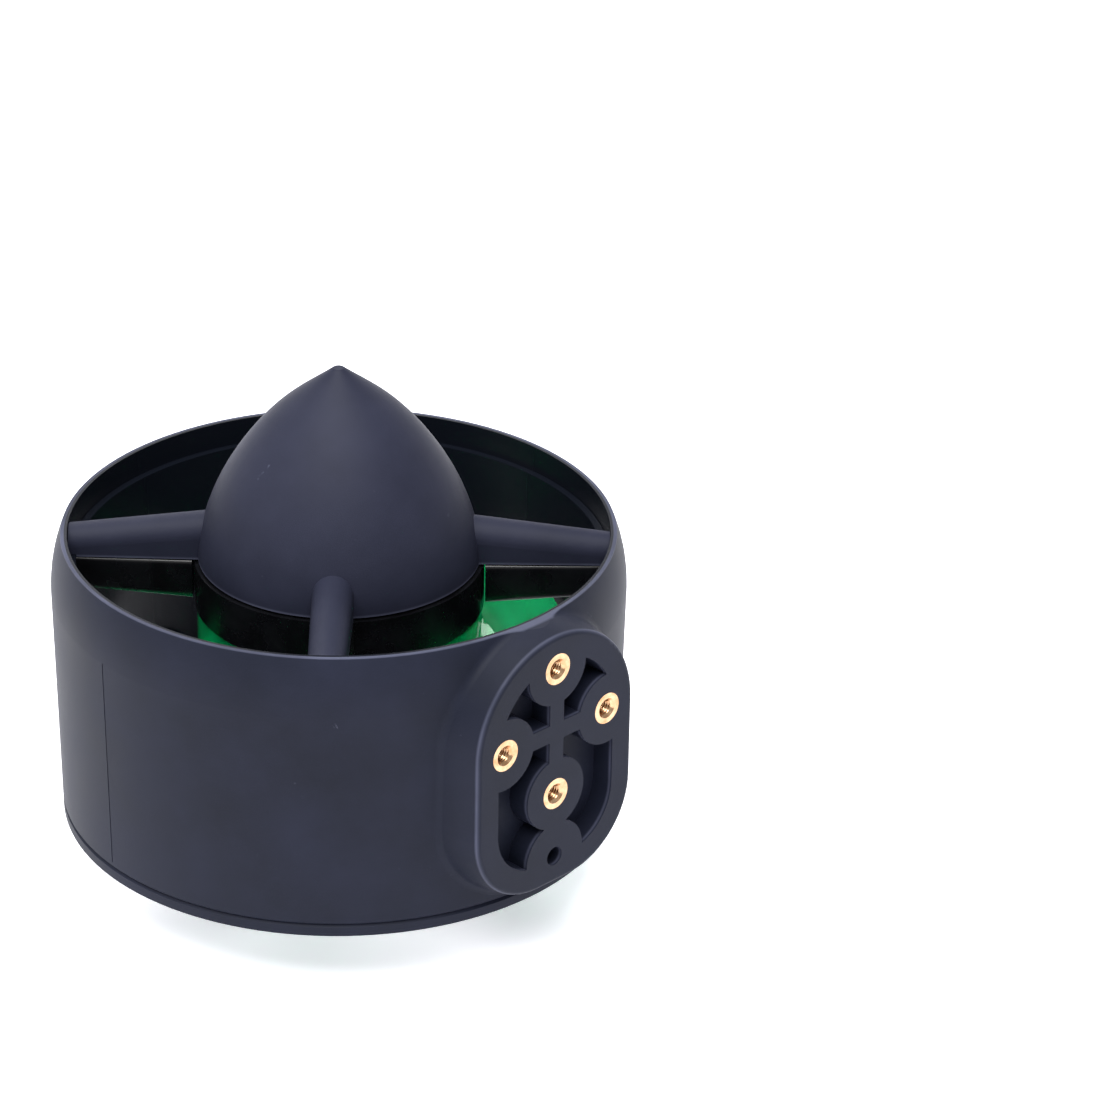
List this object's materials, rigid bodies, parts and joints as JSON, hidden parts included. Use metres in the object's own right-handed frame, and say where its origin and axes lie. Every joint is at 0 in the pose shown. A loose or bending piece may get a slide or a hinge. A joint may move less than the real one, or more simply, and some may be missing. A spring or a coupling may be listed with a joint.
{
  "type": "underwater thruster",
  "caption": "Ducted underwater thruster: round shroud with a ribbed mounting foot, propeller on a rim hub, bullet nose on struts, tail cap and a motor lead.",
  "frame": {"origin": "on the thrust axis, at the flat end of the tail that it stands on", "axes": "+Z along the thrust axis, out of the nose; -Y out of the mounting foot's face"},
  "size_m": [0.1067, 0.1099, 0.0874],
  "materials": {
    "housing_plastic": "fine-grained moulded thermoplastic, charcoal with a blue cast",
    "guard_plastic": "fine-grained moulded thermoplastic, charcoal with a blue cast",
    "collar_plastic": "smooth glossy black moulding",
    "propeller_plastic": "translucent emerald green polycarbonate",
    "insert_brass": "turned brass",
    "screw_steel": "stainless steel",
    "black_rubber": "moulded black rubber",
    "lead_rubber": "black silicone rubber sleeve",
    "tie_plastic": "black nylon",
    "plug_plastic": "black overmoulded plastic",
    "motor_aluminium": "turned aluminium",
    "bearing_plastic": "self-lubricating bearing plastic",
    "core_steel": "stacked sheet steel, epoxy coated",
    "winding_copper": null,
    "can_steel": "turned and plated steel",
    "magnet_coating": "coated magnet",
    "washer_plastic": "white low-friction plastic"
  },
  "bodies": {
    "housing": {"duct_housing": "housing_plastic", "mount_inserts": "insert_brass", "rear_frame": "housing_plastic", "post_screw": "screw_steel", "tail_cap": "housing_plastic", "tail_cap_screws": "screw_steel", "lead_gland": "black_rubber", "front_guard": "guard_plastic", "motor_base": "motor_aluminium", "motor_base_screws": "screw_steel", "front_bearing": "bearing_plastic", "rear_bearing": "bearing_plastic", "stator_core": "core_steel", "stator_windings": "winding_copper", "motor_lead": "lead_rubber", "lead_coil": "lead_rubber", "coil_tie": "tie_plastic", "lead_free_end": "lead_rubber", "lead_plug": "plug_plastic", "plug_pins": "insert_brass"},
    "rotor": {"rotor_can": "can_steel", "rotor_magnets": "magnet_coating", "hub_collar": "collar_plastic", "hub_collar_screws": "screw_steel", "propeller": "propeller_plastic", "motor_shaft": "screw_steel", "shaft_nut": "screw_steel", "shaft_collar": "screw_steel", "thrust_washer": "washer_plastic"}
  },
  "joints": [
    {"name": "propeller_spin", "type": "hinge", "parent": "housing", "child": "rotor", "pos_m": [0, 0, 0.0383], "axis": [0, 0, 1], "continuous": true}
  ]
}
